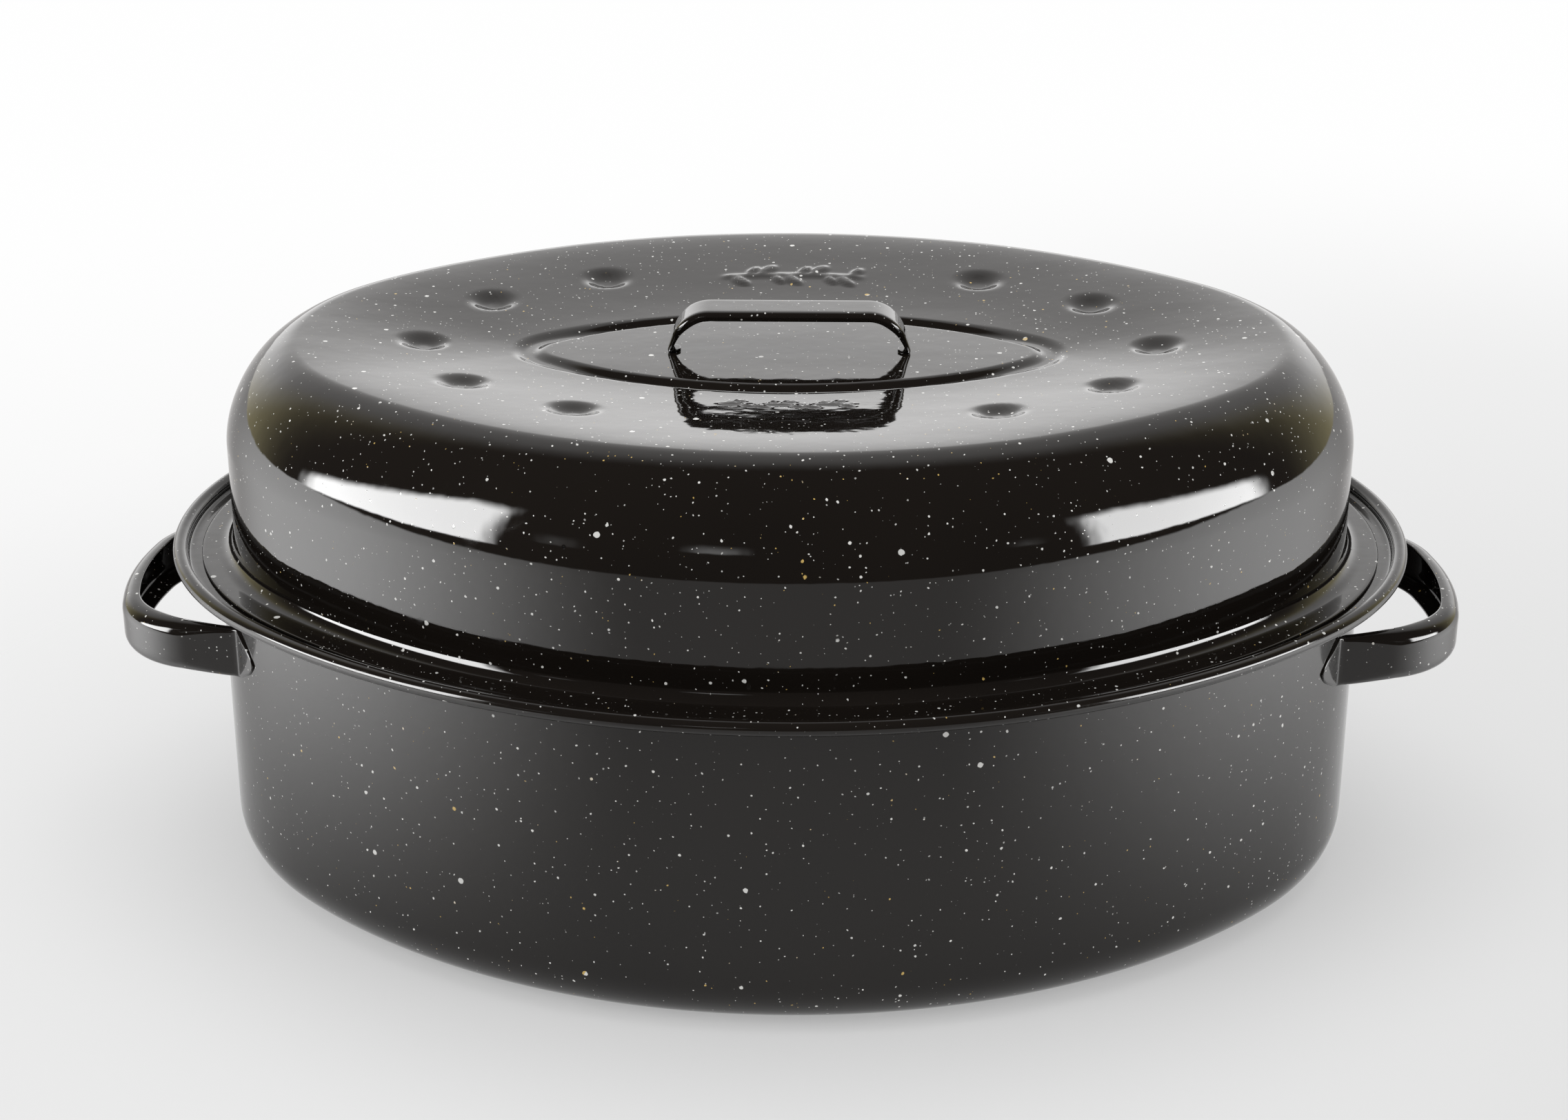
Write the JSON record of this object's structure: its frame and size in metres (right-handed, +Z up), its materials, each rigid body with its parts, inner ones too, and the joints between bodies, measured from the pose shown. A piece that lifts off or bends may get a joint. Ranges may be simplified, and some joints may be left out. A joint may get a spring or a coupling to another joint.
{
  "type": "covered oval roaster used as a water bath canner",
  "caption": "Deep oval speckled enamel pan with a domed lift-off lid, loop end handles, a lid strap handle and a lift-out wire jar rack.",
  "frame": {"origin": "middle of the base, on the surface that the pan stands on", "axes": "+X along the length, through the two end handles; +Z up"},
  "size_m": [0.4598, 0.3216, 0.1934],
  "materials": {
    "enamel_pan": "gloss vitreous enamel with white speckles",
    "enamel_lid": "high-gloss vitreous enamel with white speckles",
    "enamel_handle": "gloss vitreous enamel with white speckles",
    "rack_wire": "bright plated wire",
    "rack_handle_wire": "bright plated wire"
  },
  "bodies": {
    "pan": {"pan_body": "enamel_pan", "side_handle_left": "enamel_handle", "side_handle_right": "enamel_handle"},
    "lid": {"lid_shell": "enamel_lid", "lid_handle": "enamel_handle"},
    "rack": {"rack_rim": "rack_wire", "rack_cross_wires": "rack_wire", "rack_foot_rails": "rack_wire", "rack_pivot_wires": "rack_wire"},
    "rack_handle_left": {"rack_handle_left": "rack_handle_wire"},
    "rack_handle_right": {"rack_handle_right": "rack_handle_wire"}
  },
  "joints": [
    {"name": "lid_lift", "type": "slide", "parent": "pan", "child": "lid", "axis": [0, 0, 1], "range_m": [0, 0.25]},
    {"name": "rack_lift", "type": "slide", "parent": "pan", "child": "rack", "axis": [0, 0, 1], "range_m": [0, 0.075]},
    {"name": "rack_handle_left_fold", "type": "hinge", "parent": "rack", "child": "rack_handle_left", "pos_m": [-0.126, 0, 0.02], "axis": [0, -1, 0], "range_deg": [0, 90]},
    {"name": "rack_handle_right_fold", "type": "hinge", "parent": "rack", "child": "rack_handle_right", "pos_m": [0.126, 0, 0.02], "axis": [0, 1, 0], "range_deg": [0, 90]}
  ]
}
